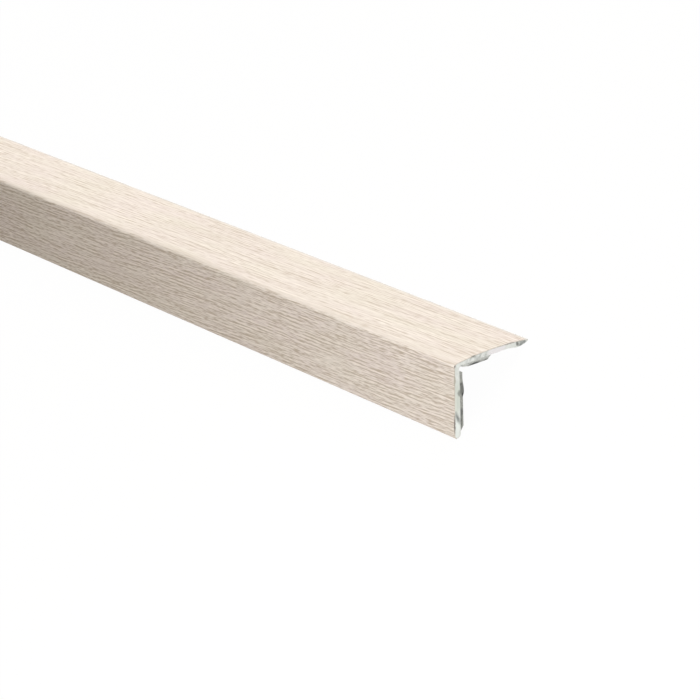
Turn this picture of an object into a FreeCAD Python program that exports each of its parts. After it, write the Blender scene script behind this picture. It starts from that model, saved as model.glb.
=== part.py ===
import FreeCAD, Part
import math
import os

# Corner guard moulding: an extruded aluminium angle with a crowned top flange, wrapped in a
# wood-effect film, with a foam adhesive strip on the inside of each flange. Millimetres.
# The section is drawn in its own frame: y runs back along the top flange, z runs up, and the
# outer faces would meet in a sharp corner at y = 0, z = 0. It is extruded along X, and then
# laid down as it rests on a floor, on its two lips with the corner on top.

# Overall sizes, over the film
length = 900.0
top_width = 25.0
front_height = 20.0

# Walls of the metal, without the film
film_thickness = 0.2
top_wall = 1.3
front_wall = 1.4
nose_wall = 1.85

# Outer form
corner_radius = 1.1
crown_rise = 0.8

# Lip of the top flange, thicker than the flange and then thinned out to its tip
tip_radius = 0.35
lip_drop = 0.5
lip_round = 8.0
lip_flat = 0.3
lip_ramp = 2.7

# Inner corner between the flanges
root_radius = 0.8

# Where the film stops on the tip and on the nose, in degrees short of the flange's own end
film_stop = 20.0

# Adhesive strips
strip_thickness = 0.95
top_strip_width = 9.8
top_strip_lead = 2.2
top_strip_lead_edge = 0.5
strip_end_slant = 1.25
front_strip_lead = 0.6
top_strip_setback = 0.05
front_strip_setback = 0.5
nose_setback = 0.7


def point(y, z):
    return FreeCAD.Vector(0, y, z)


def towards(angle):
    """Unit vector at an angle, in degrees from +y towards +z."""
    turn = math.radians(angle)
    return point(math.cos(turn), math.sin(turn))


def direction(start, end):
    """The angle of the way from one point to another."""
    step = end - start
    return math.degrees(math.atan2(step.z, step.y))


def line(start, end):
    return Part.LineSegment(start, end).toShape()


def arc(centre, radius, start, end):
    angles = (start, (start + end) / 2, end)
    return Part.Arc(*[centre + towards(angle) * radius for angle in angles]).toShape()


def polygon(corners):
    return [line(a, b) for a, b in zip(corners, corners[1:] + corners[:1])]


# The crown is one shallow arc over the whole top flange.
crown_radius = (top_width**2 / 4 + crown_rise**2) / (2 * crown_rise)
crown_centre = point(top_width / 2, crown_rise - crown_radius)


def under_crown(y, radius):
    """Centre, at y, of the circle that touches the crown from inside."""
    reach = crown_radius - radius
    return point(y, crown_centre.z + math.sqrt(reach**2 - (y - crown_centre.y) ** 2))


# Rounds that the film follows: the tip, the corner between the faces, and the nose
tip_centre = under_crown(top_width - tip_radius, tip_radius)
corner_centre = under_crown(corner_radius, corner_radius)
nose_radius = film_thickness + nose_wall / 2
nose_centre = point(nose_radius, nose_radius - front_height)
tip_start = direction(crown_centre, tip_centre)
corner_start = direction(crown_centre, corner_centre)
nose_stop = 270.0 - film_stop

# The same rounds in the metal
tip_core = tip_radius - film_thickness
nose_core = nose_radius - film_thickness

# Inner face of the front flange, from the sharp inner corner to where it touches the nose
under_z = crown_rise - film_thickness - top_wall
root = point(film_thickness + front_wall, under_z)
to_nose = root.distanceToPoint(nose_centre)
inner_angle = direction(root, nose_centre) + math.degrees(math.asin(nose_core / to_nose))
inner_down = towards(inner_angle)
inner_out = towards(inner_angle + 90.0)
nose_touch = nose_centre + inner_out * nose_core

# Fillet of the inner corner, and where it ends on each flange
root_centre_y = root.y + root_radius * (1 + inner_out.z) / inner_out.y
root_centre = point(root_centre_y, under_z - root_radius)
root_top = point(root_centre.y, under_z)
root_front = root_centre - inner_out * root_radius

# Underside of the top lip: a ramp, a flat and a long round that sweeps up to the tip
lip_z = under_z - lip_drop
sweep_z = lip_z + lip_round
sweep_run = math.sqrt((lip_round - tip_core) ** 2 - (sweep_z - tip_centre.z) ** 2)
sweep_centre = point(tip_centre.y - sweep_run, sweep_z)
sweep_stop = direction(sweep_centre, tip_centre)
ramp_foot = point(sweep_centre.y - lip_flat, lip_z)
ramp_head = point(ramp_foot.y - lip_ramp, under_z)


def outer_run(inset):
    """Outer line of the section at a depth under the surface, from the tip to the nose."""
    return [
        arc(tip_centre, tip_radius - inset, film_stop, tip_start),
        arc(crown_centre, crown_radius - inset, tip_start, corner_start),
        arc(corner_centre, corner_radius - inset, corner_start, 180.0),
        line(point(inset, corner_centre.z), point(inset, nose_centre.z)),
        arc(nose_centre, nose_radius - inset, 180.0, nose_stop),
    ]


def film_section():
    tip_way = towards(film_stop)
    nose_way = towards(nose_stop)
    tip_cut = line(tip_centre + tip_way * tip_core, tip_centre + tip_way * tip_radius)
    nose_cut = line(nose_centre + nose_way * nose_core, nose_centre + nose_way * nose_radius)
    return outer_run(0.0) + outer_run(film_thickness) + [tip_cut, nose_cut]


def angle_section():
    return outer_run(film_thickness) + [
        arc(nose_centre, nose_core, nose_stop, inner_angle + 450.0),
        line(nose_touch, root_front),
        arc(root_centre, root_radius, inner_angle + 270.0, 90.0),
        line(root_top, ramp_head),
        line(ramp_head, ramp_foot),
        line(ramp_foot, point(sweep_centre.y, lip_z)),
        arc(sweep_centre, lip_round, -90.0, sweep_stop),
        arc(tip_centre, tip_core, sweep_stop, film_stop),
    ]


def top_strip_section():
    start = root_top.y + top_strip_setback
    end = start + top_strip_width
    face_z = under_z - strip_thickness
    return polygon([
        point(start, under_z),
        point(start, under_z - top_strip_lead_edge),
        point(start + top_strip_lead, face_z),
        point(end - strip_end_slant, face_z),
        point(end, under_z),
    ])


def front_strip_section():
    start = root_front + inner_down * front_strip_setback
    end = nose_touch - inner_down * nose_setback
    return polygon([
        start,
        start + inner_down * front_strip_lead + inner_out * strip_thickness,
        end - inner_down * strip_end_slant + inner_out * strip_thickness,
        end,
    ])


def face(edges):
    wire = Part.Wire(Part.__sortEdges__(edges))
    return Part.Face(wire)


# The floor touches the tip and the nose of the metal, so it is their common tangent.
between = tip_centre - nose_centre
lean = math.degrees(math.acos((nose_core - tip_core) / between.Length))
floor_way = direction(nose_centre, tip_centre) - lean
rest_turn = -90.0 - floor_way

sections = {
    "aluminium_angle": angle_section(),
    "decor_film": film_section(),
    "adhesive_strip_top": top_strip_section(),
    "adhesive_strip_front": front_strip_section(),
}
faces = {name: face(edges) for name, edges in sections.items()}
for laid in faces.values():
    laid.rotate(FreeCAD.Vector(0, 0, 0), FreeCAD.Vector(1, 0, 0), rest_turn)

# The origin is on the floor, in the middle of the length and of the width over the lips.
outline = Part.makeCompound(list(faces.values())).optimalBoundingBox(False)
to_origin = FreeCAD.Vector(-length / 2, -outline.Center.y, -outline.ZMin)

os.makedirs("parts", exist_ok=True)
for name, laid in faces.items():
    piece = laid.translated(to_origin).extrude(FreeCAD.Vector(length, 0, 0))
    piece.exportStep(f"parts/{name}.step")
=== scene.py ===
import math

import bpy
from mathutils import Matrix, Vector


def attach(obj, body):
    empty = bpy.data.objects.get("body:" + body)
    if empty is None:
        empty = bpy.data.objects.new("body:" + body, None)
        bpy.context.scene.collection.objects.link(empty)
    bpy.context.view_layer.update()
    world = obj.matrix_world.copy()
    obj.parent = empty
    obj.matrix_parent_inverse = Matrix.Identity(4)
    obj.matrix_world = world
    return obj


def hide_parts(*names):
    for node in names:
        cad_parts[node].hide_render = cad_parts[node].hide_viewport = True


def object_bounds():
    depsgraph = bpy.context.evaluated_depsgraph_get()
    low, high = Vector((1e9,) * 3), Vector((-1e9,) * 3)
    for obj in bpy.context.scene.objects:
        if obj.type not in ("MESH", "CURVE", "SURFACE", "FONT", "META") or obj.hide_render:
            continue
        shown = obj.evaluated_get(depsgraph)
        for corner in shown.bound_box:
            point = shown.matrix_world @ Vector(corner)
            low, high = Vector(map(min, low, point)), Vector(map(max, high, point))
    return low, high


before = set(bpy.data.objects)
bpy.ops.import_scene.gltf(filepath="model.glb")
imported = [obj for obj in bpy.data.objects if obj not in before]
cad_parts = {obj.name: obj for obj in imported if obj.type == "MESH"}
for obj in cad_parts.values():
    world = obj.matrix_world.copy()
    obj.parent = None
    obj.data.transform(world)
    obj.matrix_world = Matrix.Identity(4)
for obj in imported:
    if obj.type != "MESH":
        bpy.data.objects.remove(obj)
cad_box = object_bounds()

# Sizes, in metres: the same section as the construction, drawn finer here. In the section's own
# frame y runs back along the top flange and z runs up.
mm = 0.001
low, high = cad_box
length = high.x - low.x
top_width = 25.0 * mm
front_height = 20.0 * mm
film_thickness = 0.2 * mm
top_wall = 1.3 * mm
front_wall = 1.4 * mm
nose_wall = 1.85 * mm
corner_radius = 1.1 * mm
crown_rise = 0.8 * mm
tip_radius = 0.35 * mm
lip_drop = 0.5 * mm
lip_round = 8.0 * mm
lip_flat = 0.3 * mm
lip_ramp = 2.7 * mm
root_radius = 0.8 * mm
film_stop = 20.0
strip_thickness = 0.95 * mm
top_strip_width = 9.8 * mm
top_strip_lead = 2.2 * mm
top_strip_lead_edge = 0.5 * mm
strip_end_slant = 1.25 * mm
front_strip_lead = 0.6 * mm
top_strip_setback = 0.05 * mm
front_strip_setback = 0.5 * mm
nose_setback = 0.7 * mm

# Edges sharper than this stay hard where a mesh is shaded smooth.
hard_edge = math.radians(35.0)


# The section

def towards(angle):
    """Unit vector at an angle, in degrees from +y towards +z."""
    turn = math.radians(angle)
    return Vector((math.cos(turn), math.sin(turn)))


def direction(start, end):
    """The angle of the way from one point to another."""
    step = end - start
    return math.degrees(math.atan2(step.y, step.x))


def arc(centre, radius, start, end, pitch):
    """Points along an arc, both ends included, no further apart than the pitch."""
    steps = max(2, math.ceil(abs(math.radians(end - start)) * radius / pitch))
    turn = (end - start) / steps
    return [centre + towards(start + turn * i) * radius for i in range(steps + 1)]


def straight(start, end, pitch):
    """Points along a straight line, without its ends."""
    steps = max(1, math.ceil((end - start).length / pitch))
    return [start.lerp(end, i / steps) for i in range(1, steps)]


crown_radius = (top_width**2 / 4 + crown_rise**2) / (2 * crown_rise)
crown_centre = Vector((top_width / 2, crown_rise - crown_radius))


def under_crown(y, radius):
    """Centre, at y, of the circle that touches the crown from inside."""
    reach = crown_radius - radius
    return Vector((y, crown_centre.y + math.sqrt(reach**2 - (y - crown_centre.x) ** 2)))


tip_centre = under_crown(top_width - tip_radius, tip_radius)
corner_centre = under_crown(corner_radius, corner_radius)
nose_radius = film_thickness + nose_wall / 2
nose_centre = Vector((nose_radius, nose_radius - front_height))
tip_start = direction(crown_centre, tip_centre)
corner_start = direction(crown_centre, corner_centre)
nose_stop = 270.0 - film_stop
tip_core = tip_radius - film_thickness
nose_core = nose_radius - film_thickness

under_z = crown_rise - film_thickness - top_wall
root = Vector((film_thickness + front_wall, under_z))
to_nose = (nose_centre - root).length
inner_angle = direction(root, nose_centre) + math.degrees(math.asin(nose_core / to_nose))
inner_down = towards(inner_angle)
inner_out = towards(inner_angle + 90.0)
nose_touch = nose_centre + inner_out * nose_core
root_centre_y = root.x + root_radius * (1 + inner_out.y) / inner_out.x
root_centre = Vector((root_centre_y, under_z - root_radius))
root_front = root_centre - inner_out * root_radius

lip_z = under_z - lip_drop
sweep_z = lip_z + lip_round
sweep_run = math.sqrt((lip_round - tip_core) ** 2 - (sweep_z - tip_centre.y) ** 2)
sweep_centre = Vector((tip_centre.x - sweep_run, sweep_z))
sweep_stop = direction(sweep_centre, tip_centre)
ramp_foot = Vector((sweep_centre.x - lip_flat, lip_z))
ramp_head = Vector((ramp_foot.x - lip_ramp, under_z))


def outer_run(inset, pitch):
    """Outer line of the section at a depth under the surface, from the tip to the nose."""
    face_top = Vector((inset, corner_centre.y))
    face_foot = Vector((inset, nose_centre.y))
    return (
        arc(tip_centre, tip_radius - inset, film_stop, tip_start, min(pitch, 0.1 * mm))
        + arc(crown_centre, crown_radius - inset, tip_start, corner_start, pitch)[1:]
        + arc(corner_centre, corner_radius - inset, corner_start, 180.0, min(pitch, 0.2 * mm))[1:]
        + straight(face_top, face_foot, pitch)
        + arc(nose_centre, nose_radius - inset, 180.0, nose_stop, min(pitch, 0.2 * mm))
    )


def film_ring(pitch, back_pitch):
    """Outline of the film: its outer line, then its inner line back."""
    return outer_run(0.0, pitch), outer_run(film_thickness, back_pitch)[::-1]


def angle_ring(pitch):
    """Outline of the metal: its outer line under the film, then its inner line back."""
    fine = 0.12 * mm
    return outer_run(film_thickness, pitch) + (
        arc(nose_centre, nose_core, nose_stop, inner_angle + 450.0, fine)[1:]
        + arc(root_centre, root_radius, inner_angle + 270.0, 90.0, fine)
        + [ramp_head, ramp_foot]
        + arc(sweep_centre, lip_round, -90.0, sweep_stop, 2 * fine)
        + arc(tip_centre, tip_core, sweep_stop, film_stop, fine / 2)[1:-1]
    )


def top_strip_ring():
    start = root_centre.x + top_strip_setback
    end = start + top_strip_width
    face_z = under_z - strip_thickness
    return [
        Vector((start, under_z)),
        Vector((start, under_z - top_strip_lead_edge)),
        Vector((start + top_strip_lead, face_z)),
        Vector((end - strip_end_slant, face_z)),
        Vector((end, under_z)),
    ]


def front_strip_ring():
    start = root_front + inner_down * front_strip_setback
    end = nose_touch - inner_down * nose_setback
    return [
        start,
        start + inner_down * front_strip_lead + inner_out * strip_thickness,
        end - inner_down * strip_end_slant + inner_out * strip_thickness,
        end,
    ]


# Laying the section down: the floor touches the metal's tip and nose.
between = tip_centre - nose_centre
lean = math.degrees(math.acos((nose_core - tip_core) / between.length))
rest_turn = -90.0 - direction(nose_centre, tip_centre) + lean
turned = Matrix.Rotation(math.radians(rest_turn), 2)
laid_nose = turned @ nose_centre
laid_tip = turned @ tip_centre
middle = (laid_nose.x - nose_radius + laid_tip.x + tip_radius) / 2
section_origin = Vector((-middle, nose_core - laid_nose.y))


def laid(place):
    """A point of the section as it lies in the part's frame: (Y, Z)."""
    return turned @ place + section_origin


near_end = Vector((length / 2, *laid(Vector((0.0, 0.0)))))


# Node helpers

def add(tree, kind, inputs=None, **settings):
    """A new node, with its settings, and its inputs set to values or linked to sockets."""
    node = tree.nodes.new(kind)
    for name, value in settings.items():
        setattr(node, name, value)
    for name, value in (inputs or {}).items():
        if isinstance(value, bpy.types.NodeSocket):
            tree.links.new(value, node.inputs[name])
        else:
            node.inputs[name].default_value = value
    return node


def maths(tree, operation, *values, clamp=False):
    """Output of a Math node over numbers or sockets."""
    inputs = dict(enumerate(values))
    node = add(tree, "ShaderNodeMath", inputs, operation=operation, use_clamp=clamp)
    return node.outputs[0]


def spread(tree, value, low_in, high_in, low_out=0.0, high_out=1.0):
    """A value's range stretched to another, and held inside it."""
    inputs = {
        "Value": value, "From Min": low_in, "From Max": high_in,
        "To Min": low_out, "To Max": high_out,
    }
    return add(tree, "ShaderNodeMapRange", inputs).outputs["Result"]


def blended(tree, factor, first, second, mode="MIX"):
    """Colour output of a Mix node."""
    node = add(tree, "ShaderNodeMix", data_type="RGBA", blend_type=mode)
    sockets = [node.inputs["Factor"]] + [s for s in node.inputs if s.type == "RGBA"][-2:]
    for socket, value in zip(sockets, (factor, first, second)):
        if isinstance(value, bpy.types.NodeSocket):
            tree.links.new(value, socket)
        else:
            socket.default_value = value
    return next(s for s in node.outputs if s.type == "RGBA")


def srgb(red, green, blue):
    """A colour given as screen values of 0 to 255."""
    def linear(value):
        value /= 255.0
        return value / 12.92 if value <= 0.04045 else ((value + 0.055) / 1.055) ** 2.4
    return (linear(red), linear(green), linear(blue), 1.0)


def sockets_of(tree, inputs, outputs):
    """Named sockets on a new group: inputs are name: (kind, default), outputs name: kind."""
    for name, (kind, default) in inputs.items():
        socket = tree.interface.new_socket(name, in_out="INPUT", socket_type=kind)
        if default is not None:
            socket.default_value = default
    for name, kind in outputs.items():
        tree.interface.new_socket(name, in_out="OUTPUT", socket_type=kind)


# Sweeping a section along the length

def sweep_tree():
    """Draws a closed outline, given in the XY plane, along the part's length, and lays relief
    on it. The outline's points carry across, their place along the outline, and relief."""
    tree = bpy.data.node_groups.new("swept_section", "GeometryNodeTree")
    sockets_of(tree, {
        "Outline": ("NodeSocketGeometry", None),
        "Length": ("NodeSocketFloat", 1.0),
        "Stations": ("NodeSocketInt", 2),
        "Relief Depth": ("NodeSocketFloat", 0.0),
        "Relief Width": ("NodeSocketFloat", 1.0),
        "Relief Length": ("NodeSocketFloat", 1.0),
        "Seed": ("NodeSocketFloat", 0.0),
        "Side Material": ("NodeSocketMaterial", None),
        "End Material": ("NodeSocketMaterial", None),
    }, {"Piece": "NodeSocketGeometry"})
    given = tree.nodes.new("NodeGroupInput").outputs
    outline = add(tree, "GeometryNodeMeshToCurve", {"Mesh": given["Outline"]}).outputs[0]
    end = add(tree, "ShaderNodeCombineXYZ", {"Z": given["Length"]}).outputs[0]
    path = add(tree, "GeometryNodeCurvePrimitiveLine", {"End": end}).outputs[0]
    stations = add(tree, "GeometryNodeResampleCurve", {
        "Curve": path, "Count": given["Stations"]}).outputs[0]
    swept = add(tree, "GeometryNodeCurveToMesh", {
        "Curve": stations, "Profile Curve": outline, "Fill Caps": True}).outputs[0]

    place = add(tree, "GeometryNodeInputPosition").outputs[0]
    along = add(tree, "ShaderNodeSeparateXYZ", {0: place}).outputs["Z"]
    across = add(tree, "GeometryNodeInputNamedAttribute", {"Name": "across"}, data_type="FLOAT")
    relief = add(tree, "GeometryNodeInputNamedAttribute", {"Name": "relief"}, data_type="FLOAT")
    run = add(tree, "ShaderNodeCombineXYZ", {"X": along, "Y": across.outputs[0]}).outputs[0]
    marked = add(tree, "GeometryNodeStoreNamedAttribute", {
        "Geometry": swept, "Name": "run", "Value": run}, data_type="FLOAT_VECTOR").outputs[0]

    grain = add(tree, "ShaderNodeCombineXYZ", {
        "X": maths(tree, "DIVIDE", along, given["Relief Length"]),
        "Y": maths(tree, "DIVIDE", across.outputs[0], given["Relief Width"]),
        "Z": given["Seed"],
    }).outputs[0]
    waves = add(tree, "ShaderNodeTexNoise", {
        "Vector": grain, "Scale": 1.0, "Detail": 2.0, "Roughness": 0.5}).outputs[0]
    centred = maths(tree, "SUBTRACT", waves, 0.5)
    deep = maths(tree, "MULTIPLY", centred, given["Relief Depth"])
    height = maths(tree, "MULTIPLY", deep, relief.outputs[0])
    normal = add(tree, "GeometryNodeInputNormal").outputs[0]
    offset = add(tree, "ShaderNodeVectorMath", {
        0: normal, "Scale": height}, operation="SCALE").outputs[0]
    raised = add(tree, "GeometryNodeSetPosition", {"Geometry": marked, "Offset": offset}).outputs[0]

    looking_along = 0.9
    facing = add(tree, "ShaderNodeSeparateXYZ", {0: normal}).outputs["Z"]
    is_end = maths(tree, "GREATER_THAN", maths(tree, "ABSOLUTE", facing), looking_along)
    sides = add(tree, "GeometryNodeSetMaterial", {
        "Geometry": raised, "Material": given["Side Material"]}).outputs[0]
    ends = add(tree, "GeometryNodeSetMaterial", {
        "Geometry": sides, "Selection": is_end, "Material": given["End Material"]}).outputs[0]
    quarter = math.radians(90.0)
    turned_round = add(tree, "GeometryNodeTransform", {
        "Geometry": ends, "Rotation": (quarter, 0.0, quarter)}).outputs[0]
    centre = add(tree, "ShaderNodeCombineXYZ", {
        "X": maths(tree, "MULTIPLY", given["Length"], -0.5)}).outputs[0]
    moved = add(tree, "GeometryNodeTransform", {
        "Geometry": turned_round, "Translation": centre}).outputs[0]
    real = add(tree, "GeometryNodeRealizeInstances", {"Geometry": moved}).outputs[0]
    tree.links.new(real, tree.nodes.new("NodeGroupOutput").inputs["Piece"])
    return tree


def outline_object(name, ring, across, relief):
    """Closed ring of edges in the XY plane, holding the section as it lies."""
    mesh = bpy.data.meshes.new(name)
    spots = [laid(p) for p in ring]
    edges = [(i, (i + 1) % len(ring)) for i in range(len(ring))]
    mesh.from_pydata([(p.x, p.y, 0.0) for p in spots], edges, [])
    for label, values in (("across", across), ("relief", relief)):
        layer = mesh.attributes.new(label, "FLOAT", "POINT")
        layer.data.foreach_set("value", values)
    piece = bpy.data.objects.new(name, mesh)
    bpy.context.scene.collection.objects.link(piece)
    return piece


def running_length(points):
    """How far along its line each point lies."""
    reached = [0.0]
    for a, b in zip(points, points[1:]):
        reached.append(reached[-1] + (b - a).length)
    return reached


def sweep(piece, tree, **values):
    """Runs the sweep on an outline and leaves the plain mesh that it makes."""
    modifier = piece.modifiers.new("sweep", "NODES")
    modifier.node_group = tree
    for item in tree.interface.items_tree:
        if item.in_out == "INPUT" and item.name in values:
            modifier[item.identifier] = values[item.name]
    graph = bpy.context.evaluated_depsgraph_get()
    seen = piece.evaluated_get(graph)
    made = bpy.data.meshes.new_from_object(seen, preserve_all_data_layers=True, depsgraph=graph)
    piece.modifiers.remove(modifier)
    drawn = piece.data
    piece.data = made
    bpy.data.meshes.remove(drawn)
    made.name = piece.name
    made.shade_smooth()
    made.set_sharp_from_angle(angle=hard_edge)


# Materials

def surface(name):
    """A new material: its tree and its Principled shader."""
    material = bpy.data.materials.new(name)
    material.use_nodes = True
    return material, material.node_tree, material.node_tree.nodes["Principled BSDF"]


def bumped(tree, shader, strength, depth, height):
    """Gives a shader fine relief as bump."""
    bump = add(tree, "ShaderNodeBump", {"Strength": strength, "Distance": depth, "Height": height})
    tree.links.new(bump.outputs[0], shader.inputs["Normal"])


# The oak print. Places across the film are counted from its edge on the tip. The arris, the rounded
# corner between the two faces, lies 24.2 to 25.8 mm across.
line_spacing = 1.0 * mm
front_from = 25.1 * mm

# How densely the print's lines lie along and across, on the top face and on the front face
top_along, front_along = 0.78, 1.0
top_across, front_across = 0.88, 1.08


def oak_group():
    """Washed oak: fine lines along the grain, pale and dark, over slow bands and a slow warmth.
    Run is the place on the film in metres, along and across."""
    tree = bpy.data.node_groups.new("washed_oak", "ShaderNodeTree")
    sockets_of(tree, {
        "Run": ("NodeSocketVector", None),
        "Slope": ("NodeSocketFloat", 0.035),
        "Line Width": ("NodeSocketFloat", 0.5 * mm),
        "Line Length": ("NodeSocketFloat", 12.0 * mm),
        "Contrast": ("NodeSocketFloat", 1.0),
        "Light": ("NodeSocketColor", (1, 1, 1, 1)),
        "Middle": ("NodeSocketColor", (1, 1, 1, 1)),
        "Warm": ("NodeSocketColor", (1, 1, 1, 1)),
        "Dark": ("NodeSocketColor", (1, 1, 1, 1)),
    }, {"Color": "NodeSocketColor", "Height": "NodeSocketFloat"})
    given = tree.nodes.new("NodeGroupInput").outputs
    run = add(tree, "ShaderNodeSeparateXYZ", {0: given["Run"]}).outputs
    along, across = run["X"], run["Y"]
    past_arris = maths(tree, "MAXIMUM", maths(tree, "SUBTRACT", across, front_from), 0.0)
    on_front = maths(tree, "GREATER_THAN", past_arris, 0.0)
    density = maths(tree, "MULTIPLY_ADD", on_front, front_along - top_along, top_along)
    onward = maths(tree, "MULTIPLY", along, density)
    sideways = maths(tree, "MULTIPLY", across, top_across)
    sideways = maths(tree, "MULTIPLY_ADD", past_arris, front_across - top_across, sideways)
    leaning = maths(tree, "MULTIPLY_ADD", along, given["Slope"], sideways)

    # The lines wander sideways in slow waves.
    waves_along, waves_across, wave_height = 14.0, 70.0, 2.4 * mm
    wave_place = add(tree, "ShaderNodeCombineXYZ", {
        "X": maths(tree, "MULTIPLY", along, waves_along),
        "Y": maths(tree, "MULTIPLY", leaning, waves_across)}).outputs[0]
    waves = add(tree, "ShaderNodeTexNoise", {
        "Vector": wave_place, "Scale": 1.0, "Detail": 2.0}).outputs[0]
    wandering = maths(tree, "MULTIPLY_ADD", waves, wave_height, leaning)

    def lines(width, stretch, seed, detail=0.0, shift=0.0):
        """Noise drawn out along the grain, centred on zero. Width and stretch are shares of the
        group's line width and line length."""
        reach = maths(tree, "MULTIPLY", given["Line Length"], stretch)
        breadth = maths(tree, "MULTIPLY", given["Line Width"], width)
        moved = maths(tree, "ADD", wandering, shift)
        spot = add(tree, "ShaderNodeCombineXYZ", {
            "X": maths(tree, "DIVIDE", onward, reach),
            "Y": maths(tree, "DIVIDE", moved, breadth),
            "Z": seed,
        }).outputs[0]
        noise = add(tree, "ShaderNodeTexNoise", {
            "Vector": spot, "Scale": 1.0, "Detail": detail, "Roughness": 0.5}).outputs[0]
        return maths(tree, "SUBTRACT", noise, 0.5)

    def lines_with_painted_relief(width, stretch, seed):
        """Lines that each have a fainter opposite line on both sides, half a spacing away: print,
        with painted relief light and shade, as the lit and shaded walls of embossed lines.
        """
        gap = 0.5 * width * line_spacing
        opposite = -0.3
        above = lines(width, stretch, seed, 1.0, gap)
        below = lines(width, stretch, seed, 1.0, -gap)
        sides = maths(tree, "ADD", above, below)
        return maths(tree, "MULTIPLY_ADD", sides, opposite, lines(width, stretch, seed, 1.0))

    # Fine lines: broad ones and narrow ones, with painted relief light and shade beside them, and
    # short ticks
    narrow_share, tick_share = 0.7, 0.75
    broad = lines_with_painted_relief(width=1.0, stretch=0.85, seed=3.0)
    narrow = lines_with_painted_relief(width=0.7, stretch=0.5, seed=11.0)
    ticks = lines(width=0.45, stretch=0.18, seed=31.0)
    fine = maths(tree, "MULTIPLY_ADD", narrow, narrow_share, broad)
    fine = maths(tree, "MULTIPLY_ADD", ticks, tick_share, fine)

    # How strong they are: in patches, weaker towards the arris and strongest on the front face
    uneven = lines(width=11.0, stretch=1.8, seed=41.0, detail=1.0)
    patches = spread(tree, uneven, -0.14, 0.14, 0.82, 1.1)
    to_arris = spread(tree, across, 20.5 * mm, 23.0 * mm, 0.74, 0.5)
    from_arris = spread(tree, across, 24.3 * mm, front_from, 0.0, 0.84)
    faces = maths(tree, "ADD", to_arris, from_arris)
    strength = maths(tree, "MULTIPLY", given["Contrast"], patches)
    strength = maths(tree, "MULTIPLY", strength, faces)

    # From dark at 0 over the body's colour at a half to light at 1
    half, fine_depth, band_depth, pore_depth = 0.5, 1.65, 0.7, 0.3
    bands = lines(width=3.5, stretch=2.5, seed=23.0, detail=2.0)
    pores = spread(tree, lines(width=0.28, stretch=0.3, seed=71.0), 0.1, 0.28)
    tone = maths(tree, "MULTIPLY_ADD", fine, maths(tree, "MULTIPLY", strength, fine_depth), half)
    tone = maths(tree, "MULTIPLY_ADD", bands, band_depth, tone)
    sunk = maths(tree, "MULTIPLY", strength, -pore_depth)
    tone = maths(tree, "MULTIPLY_ADD", pores, sunk, tone, clamp=True)
    warmth = spread(tree, lines(width=12.0, stretch=1.6, seed=57.0), -0.2, 0.2)
    body = blended(tree, warmth, given["Middle"], given["Warm"])
    darker = blended(tree, spread(tree, tone, 0.0, half), given["Dark"], body)
    color = blended(tree, spread(tree, tone, half, 1.0), darker, given["Light"])
    out = tree.nodes.new("NodeGroupOutput")
    tree.links.new(color, out.inputs["Color"])
    tree.links.new(tone, out.inputs["Height"])
    return tree


def section_place(tree):
    """A point in the section's own frame, in metres, with x from the near end. A fine noise
    moves it about, so what is drawn there has a ragged edge."""
    ragged, fineness = 0.25 * mm, 1400.0
    place = add(tree, "ShaderNodeTexCoord").outputs["Object"]
    level = add(tree, "ShaderNodeMapping", {
        "Vector": place, "Location": tuple(near_end),
        "Rotation": (math.radians(rest_turn), 0.0, 0.0),
    }, vector_type="TEXTURE").outputs[0]
    noise = add(tree, "ShaderNodeTexNoise", {
        "Vector": level, "Scale": fineness, "Detail": 2.0}).outputs["Color"]
    offset = add(tree, "ShaderNodeVectorMath", {
        0: noise, 1: (0.5, 0.5, 0.5)}, operation="SUBTRACT").outputs[0]
    reach = (0.0, 2.0 * ragged, 2.0 * ragged)
    return add(tree, "ShaderNodeVectorMath", {
        0: offset, 1: reach, 2: level}, operation="MULTIPLY_ADD").outputs[0]


def oval(tree, place, middle, reach, turn=0.0, soft=0.5, back=2.0):
    """Mask of an oval on the near cut end, in millimetres of the section: 1 inside, 0 outside.
    It reaches back from the cut too."""
    shaped = add(tree, "ShaderNodeMapping", {
        "Vector": place, "Location": (0.0, middle[0] * mm, middle[1] * mm),
        "Rotation": (math.radians(turn), 0.0, 0.0),
        "Scale": (back * mm, reach[0] * mm, reach[1] * mm),
    }, vector_type="TEXTURE").outputs[0]
    fall = add(tree, "ShaderNodeTexGradient", {
        "Vector": shaped}, gradient_type="SPHERICAL").outputs[1]
    return spread(tree, fall, 0.0, soft)


def stained(tree, place, color, stains, back=2.0):
    """Lays ovals over a colour. Each is (middle, reach, turn, softness, colour)."""
    for middle, reach, turn, soft, stain in stains:
        mask = oval(tree, place, middle, reach, turn, soft, back)
        color = blended(tree, mask, color, srgb(*stain))
    return color


# Marks on the near cut end: from the saw, with painted shade and a painted highlight among them.
# Each is (middle, reach, turn, softness, colour), as stained() takes it, with lengths in
# millimetres of the section.

# Where the saw tore and smeared the film along the cut, with a painted shadow line at the nose
film_tears_and_shadow = [
    ((18.6, 0.55), (2.3, 0.3), -4.0, 0.6, (194, 188, 180)),
    ((6.3, 0.6), (0.9, 0.4), 0.0, 0.6, (150, 148, 140)),
    ((0.1, -0.35), (0.4, 0.6), 0.0, 0.7, (134, 130, 124)),
    ((0.1, -4.3), (0.35, 1.8), 0.0, 0.6, (194, 190, 174)),
    # Painted shadow: the dark line where the film parts from the metal at the nose
    ((0.0, -15.9), (0.36, 3.2), 0.0, 0.7, (126, 120, 115)),
    ((24.5, 0.1), (1.0, 0.4), -15.0, 0.5, (236, 235, 230)),
]


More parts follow.
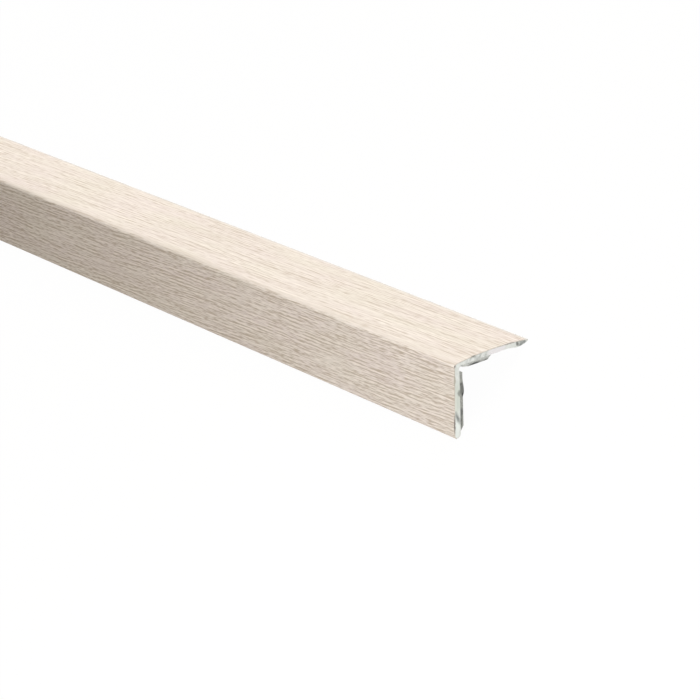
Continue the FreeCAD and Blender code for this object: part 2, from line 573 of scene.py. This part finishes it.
def oak_film():
    material, tree, shader = surface("washed_oak_film")
    run = add(tree, "ShaderNodeAttribute", attribute_name="run").outputs["Vector"]
    oak = add(tree, "ShaderNodeGroup", {
        "Run": run,
        "Light": srgb(249, 239, 227),
        "Middle": srgb(232, 223, 209),
        "Warm": srgb(233, 221, 212),
        "Dark": srgb(199, 183, 164),
    }, node_tree=oak_group())

    # Paler along the edge on the tip, and painted shade along the arris, where the rounded corner
    # turns from the light
    across = add(tree, "ShaderNodeSeparateXYZ", {0: run}).outputs["Y"]
    pale_rim = spread(tree, across, 0.4 * mm, 1.7 * mm, 0.65, 0.0)
    color = blended(tree, pale_rim, oak.outputs["Color"], srgb(226, 224, 218))
    arris_shade_share = 0.55
    to_arris = spread(tree, across, 23.6 * mm, 24.4 * mm)
    past_arris = spread(tree, across, 24.6 * mm, 25.4 * mm, 1.0, 0.0)
    on_arris = maths(tree, "MULTIPLY", to_arris, past_arris)
    painted_arris_shade = maths(tree, "MULTIPLY", on_arris, arris_shade_share)
    color = blended(tree, painted_arris_shade, color, srgb(220, 209, 196))

    color = stained(tree, section_place(tree), color, film_tears_and_shadow, back=0.4)
    tree.links.new(color, shader.inputs["Base Color"])
    rough = spread(tree, oak.outputs["Height"], 0.0, 1.0, 0.68, 0.55)
    tree.links.new(rough, shader.inputs["Roughness"])
    shader.inputs["Specular IOR Level"].default_value = 0.25
    bumped(tree, shader, 0.45, 0.04 * mm, oak.outputs["Height"])
    return material


def film_edge():
    material, tree, shader = surface("film_cut_edge")
    place = section_place(tree)
    specks = add(tree, "ShaderNodeTexNoise", {"Vector": place, "Scale": 1500.0}).outputs[0]
    plain = blended(tree, specks, srgb(236, 233, 222), srgb(214, 211, 200))
    tree.links.new(stained(tree, place, plain, film_tears_and_shadow), shader.inputs["Base Color"])
    shader.inputs["Roughness"].default_value = 0.6
    return material


# On the metal: the wall's tints with a painted highlight on the nose, painted shade beside the
# squeezed foam, a slanting dark band, and the lip with painted shade
metal_marks_and_painted_light = [
    ((0.9, -9.0), (1.6, 5.5), 0.0, 0.5, (219, 224, 214)),
    ((0.3, -10.3), (0.4, 3.8), 0.0, 0.5, (231, 234, 223)),
    ((14.2, 0.1), (3.8, 1.6), 0.0, 0.4, (241, 238, 238)),
    # Painted highlight: the light oval on the nose
    ((0.8, -17.1), (1.1, 3.2), 0.0, 0.4, (243, 247, 242)),
    # Painted shade beside the squeezed foam
    ((1.8, -8.0), (0.9, 1.2), 35.0, 0.5, (162, 165, 157)),
    ((1.0, -14.4), (0.75, 2.9), 24.0, 0.9, (142, 146, 143)),
    # The lip: a darker patch with a rounded end, painted shade of a facet turned from the light
    ((22.8, -0.45), (2.3, 1.1), -6.0, 0.2, (204, 207, 202)),
    ((21.2, -0.2), (0.6, 1.0), 15.0, 0.7, (134, 135, 131)),
    ((24.4, -0.1), (0.8, 0.5), 0.0, 0.6, (222, 224, 219)),
]


def sawn_metal():
    material, tree, shader = surface("sawn_aluminium")
    place = section_place(tree)
    mottle = add(tree, "ShaderNodeTexNoise", {
        "Vector": place, "Scale": 900.0, "Detail": 3.0}).outputs[0]
    pale = spread(tree, mottle, 0.35, 0.65)
    plain = blended(tree, pale, srgb(236, 238, 233), srgb(226, 229, 223))
    color = stained(tree, place, plain, metal_marks_and_painted_light + film_tears_and_shadow)

    # Darker and mottled over the top strip, half as much as on the lip, where the darkening is
    # painted shade of a facet turned from the light
    over_strip = oval(tree, place, (7.6, -0.4), (4.6, 1.7), 0.0, 0.5)
    lip = oval(tree, place, (22.6, -0.45), (1.8, 1.1), -6.0, 0.3)
    strip_mottle_and_lip_shade = maths(tree, "MAXIMUM", maths(tree, "MULTIPLY", over_strip, 0.5), lip)
    darkening = maths(tree, "MULTIPLY", strip_mottle_and_lip_shade, spread(tree, mottle, 0.4, 0.62, 0.0, 0.8))
    color = blended(tree, darkening, color, srgb(132, 136, 133))
    tree.links.new(color, shader.inputs["Base Color"])
    shader.inputs["Metallic"].default_value = 0.7
    tree.links.new(spread(tree, mottle, 0.3, 0.7, 0.38, 0.6), shader.inputs["Roughness"])
    return material


def extruded_metal():
    material, tree, shader = surface("extruded_aluminium")
    along, around = 6.0, 5000.0
    place = add(tree, "ShaderNodeTexCoord").outputs["Object"]
    drawn = add(tree, "ShaderNodeMapping", {
        "Vector": place, "Scale": (along, around, around)}).outputs[0]
    die_lines = add(tree, "ShaderNodeTexNoise", {
        "Vector": drawn, "Scale": 1.0, "Detail": 2.0}).outputs[0]
    color = blended(tree, die_lines, srgb(214, 216, 214), srgb(192, 195, 193))
    tree.links.new(color, shader.inputs["Base Color"])
    shader.inputs["Metallic"].default_value = 1.0
    tree.links.new(spread(tree, die_lines, 0.3, 0.7, 0.3, 0.45), shader.inputs["Roughness"])
    bumped(tree, shader, 0.3, 0.01 * mm, die_lines)
    return material


def foam(name, light, dark, stains):
    material, tree, shader = surface(name)
    place = section_place(tree)
    cells = add(tree, "ShaderNodeTexVoronoi", {
        "Vector": place, "Scale": 4500.0}).outputs["Distance"]
    color = blended(tree, spread(tree, cells, 0.1, 0.7), srgb(*dark), srgb(*light))
    tree.links.new(stained(tree, place, color, stains), shader.inputs["Base Color"])
    shader.inputs["Roughness"].default_value = 0.85
    bumped(tree, shader, 0.6, 0.05 * mm, cells)
    return material


# On the foam: pale where metal was smeared over it, with darker patches; the dark along the top
# strip's lower edge and beside the squeezed foam is painted shade. The lead smear goes over the
# edge of the cut, on to the leading face of the top strip.
top_foam_stains_and_shadow = [
    ((3.0, -1.0), (1.8, 0.6), 0.0, 0.5, (228, 232, 227)),
    # Painted shadow line along the strip's lower edge, dark and then mid-grey towards its far end
    ((6.9, -1.55), (2.7, 0.65), 0.0, 0.7, (76, 80, 77)),
    ((10.4, -1.6), (1.7, 0.5), 0.0, 0.8, (146, 149, 147)),
]
lead_smear = [
    ((2.4, -0.9), (0.6, 0.7), 0.0, 0.3, (214, 218, 213)),
]
front_foam_stains_and_shade = [
    ((2.2, -5.7), (0.9, 0.6), 0.0, 0.8, (108, 112, 107)),
    ((2.6, -7.3), (0.95, 1.9), 0.0, 0.4, (131, 134, 130)),
    # Painted shade beside the squeezed foam
    ((2.8, -8.5), (0.6, 0.65), 0.0, 0.6, (80, 83, 80)),
    ((2.2, -13.2), (0.8, 1.5), 0.0, 0.6, (130, 133, 131)),
    ((2.0, -15.6), (0.55, 2.4), 0.0, 0.9, (96, 100, 97)),
]


# Pieces

sweeper = sweep_tree()


def finished(piece, node):
    """Puts a piece on the part's body, in the place of a node of the solids."""
    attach(piece, "root")
    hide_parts(node)


def make_film():
    """The film, with waves a hundredth of a millimetre high along the grain on its outer face."""
    outer, inner = film_ring(pitch=0.55 * mm, back_pitch=2.5 * mm)
    outer_reach = running_length(outer)
    inner_reach = running_length(inner[::-1])[::-1]
    stretch = outer_reach[-1] / inner_reach[0]
    across = outer_reach + [reach * stretch for reach in inner_reach]
    relief = [1.0] * len(outer) + [0.0] * len(inner)
    piece = outline_object("oak_film", outer + inner, across, relief)
    sweep(piece, sweeper, **{
        "Length": length, "Stations": 700,
        "Relief Depth": 0.02 * mm, "Relief Width": 1.6 * mm, "Relief Length": 12.0 * mm,
        "Seed": 4.0, "Side Material": oak_film(), "End Material": film_edge()})
    finished(piece, "decor_film")


def make_plain(name, ring, node, side, end):
    """A piece without relief: straight sides, and the two cut ends."""
    piece = outline_object(name, ring, running_length(ring), [0.0] * len(ring))
    sweep(piece, sweeper, **{
        "Length": length, "Stations": 2, "Side Material": side, "End Material": end})
    finished(piece, node)


def make_bulge(side, end):
    """Foam that the saw squeezed out of the front strip, on the strip's face at the near end."""
    middle_down = 6.3 * mm
    rise, fall, height, reach = 3.6 * mm, 1.4 * mm, 0.4 * mm, 8.0 * mm
    sunk, roundness = 0.05 * mm, 1.5
    base = strip_thickness - sunk
    columns, rows = 20, 10
    places, faces = [], []
    for row in range(rows + 1):
        back = reach * row / rows
        shrink = math.cos(math.radians(90.0 * row / rows))
        profile = []
        for column in range(columns + 1):
            down = -rise + (rise + fall) * column / columns
            share = 1.0 - (-down / rise if down < 0.0 else down / fall)
            lift = height * shrink * math.sin(math.radians(90.0 * share)) ** roundness
            profile.append((middle_down + down, strip_thickness + lift))
        profile += [(middle_down + fall, base), (middle_down - rise, base)]
        for down, out in profile:
            spot = laid(root_front + inner_down * down + inner_out * out)
            places.append((near_end.x - back, spot.x, spot.y))
    ring = columns + 3
    for here in range(0, rows * ring, ring):
        behind = here + ring
        for i in range(ring):
            after = (i + 1) % ring
            faces.append((here + i, behind + i, behind + after, here + after))
    faces.append(tuple(range(ring)))
    faces.append(tuple(range(rows * ring, (rows + 1) * ring))[::-1])
    mesh = bpy.data.meshes.new("squeezed_foam")
    mesh.from_pydata(places, [], faces)
    mesh.materials.append(side)
    mesh.materials.append(end)
    cut_face = len(faces) - 2
    mesh.polygons[cut_face].material_index = 1
    mesh.shade_smooth()
    mesh.set_sharp_from_angle(angle=hard_edge)
    bulge = bpy.data.objects.new("squeezed_foam", mesh)
    bpy.context.scene.collection.objects.link(bulge)
    finished(bulge, "adhesive_strip_front")


make_film()
make_plain("metal_angle", angle_ring(0.8 * mm), "aluminium_angle",
           extruded_metal(), sawn_metal())
foam_side = foam("foam_face", (120, 124, 122), (88, 92, 90), lead_smear)
top_foam_end = foam("top_foam_cut", (226, 230, 226), (196, 200, 196), top_foam_stains_and_shadow)
front_foam_end = foam("front_foam_cut", (186, 190, 184), (158, 162, 156), front_foam_stains_and_shade)
make_plain("top_foam_strip", top_strip_ring(), "adhesive_strip_top",
           foam_side, top_foam_end)
make_plain("front_foam_strip", front_strip_ring(), "adhesive_strip_front",
           foam_side, front_foam_end)
make_bulge(foam_side, front_foam_end)


# Stage

def seen_directly(tree):
    """1 for what the camera sees, also in a reflection or through glass, and 0 for other rays."""
    rays = add(tree, "ShaderNodeLightPath").outputs
    seen = maths(tree, "ADD", rays["Is Camera Ray"], rays["Is Glossy Ray"])
    return maths(tree, "ADD", seen, rays["Is Transmission Ray"], clamp=True)


def make_floor():
    """Pale floor that looks white, and still shows the part's shadow faintly."""
    reach = 12.0
    white_share, white = 0.96, 1.02
    corners = [(-reach, -reach, 0), (reach, -reach, 0), (reach, reach, 0), (-reach, reach, 0)]
    mesh = bpy.data.meshes.new("floor")
    mesh.from_pydata(corners, [], [(0, 1, 2, 3)])
    floor = bpy.data.objects.new("floor", mesh)
    bpy.context.scene.collection.objects.link(floor)
    material = bpy.data.materials.new("pale_floor")
    material.use_nodes = True
    tree = material.node_tree
    tree.nodes.clear()
    share = maths(tree, "MULTIPLY", seen_directly(tree), white_share)
    plain = add(tree, "ShaderNodeBsdfDiffuse", {"Color": (0.52, 0.485, 0.45, 1.0)}).outputs[0]
    glow = add(tree, "ShaderNodeEmission", {
        "Color": (1, 1, 1, 1), "Strength": white}).outputs[0]
    mixed = add(tree, "ShaderNodeMixShader", {0: share, 1: plain, 2: glow}).outputs[0]
    add(tree, "ShaderNodeOutputMaterial", {"Surface": mixed})
    mesh.materials.append(material)


def make_world():
    """White where it is seen, and a faint warm light elsewhere."""
    faint, warm = 0.18, (1.0, 0.95, 0.9, 1.0)
    world = bpy.data.worlds.new("studio")
    bpy.context.scene.world = world
    world.use_nodes = True
    tree = world.node_tree
    tree.nodes.clear()
    seen = seen_directly(tree)
    strength = spread(tree, seen, 0.0, 1.0, faint, 1.0)
    color = blended(tree, seen, warm, (1.0, 1.0, 1.0, 1.0))
    sky = add(tree, "ShaderNodeBackground", {"Color": color, "Strength": strength}).outputs[0]
    add(tree, "ShaderNodeOutputWorld", {"Surface": sky})


def soft_light(name, place, aim, size, power, color=(1.0, 1.0, 1.0), span=None):
    """Square area lamp of a size in metres, or one with a longer span along X. Power in watts."""
    light = bpy.data.lights.new(name, "AREA")
    light.shape = "RECTANGLE"
    light.size = span or size
    light.size_y = size
    light.energy = power
    light.color = color
    lamp = bpy.data.objects.new(name, light)
    lamp.location = place
    lamp.rotation_euler = (Vector(aim) - Vector(place)).to_track_quat("-Z", "Y").to_euler()
    lamp.visible_camera = False
    bpy.context.scene.collection.objects.link(lamp)


def make_camera():
    """The photo's view of the near end, which is given in the section's own frame: x along
    the part from the near end, y back and z up. The focal length is in pixels of the picture."""
    azimuth, elevation, roll = math.radians(49.779), math.radians(21.996), math.radians(-1.207)
    place = Vector((429.93, -396.73, 240.60)) * mm
    focal_length, picture_width = 2600.0, 700.0
    ahead = Vector((-math.sin(azimuth) * math.cos(elevation),
                    math.cos(azimuth) * math.cos(elevation), -math.sin(elevation)))
    level = ahead.cross(Vector((0, 0, 1))).normalized()
    upright = level.cross(ahead)
    right = level * math.cos(roll) + upright * math.sin(roll)
    up = right.cross(ahead)
    view = Matrix((right, up, -ahead)).transposed().to_4x4()
    view.translation = place
    lying = Matrix.Translation(near_end) @ Matrix.Rotation(math.radians(rest_turn), 4, "X")
    lens = bpy.data.cameras.new("camera")
    lens.lens = focal_length * lens.sensor_width / picture_width
    lens.clip_start = 0.01
    camera = bpy.data.objects.new("camera", lens)
    camera.matrix_world = lying @ view
    bpy.context.scene.collection.objects.link(camera)
    bpy.context.scene.camera = camera


make_floor()
make_world()
soft_light("key", (0.13, 1.22, 1.2), (0.13, 0.0, 0.0), size=1.0, power=27.6)
soft_light("near_fill", (0.51, -0.15, 0.13), (0.46, 0.0, 0.0),
           size=0.12, power=0.236, color=(0.99, 1.0, 1.035))
soft_light("middle_fill", (0.33, -0.16, 0.13), (0.33, 0.0, 0.0),
           size=0.12, power=0.042, color=(1.0, 0.93, 0.84))
soft_light("far_fill", (-0.27, -0.18, 0.16), (-0.27, 0.0, 0.0),
           size=0.1, power=0.22, color=(1.0, 0.95, 0.89), span=0.56)
soft_light("end_fill", (0.95, 0.0, 0.16), (0.45, 0.0, 0.0), size=0.25, power=0.5)
soft_light("far_end_fill", (-0.95, 0.0, 0.16), (-0.45, 0.0, 0.0), size=0.25, power=0.4)
make_camera()
bpy.context.scene.view_settings.view_transform = "Standard"
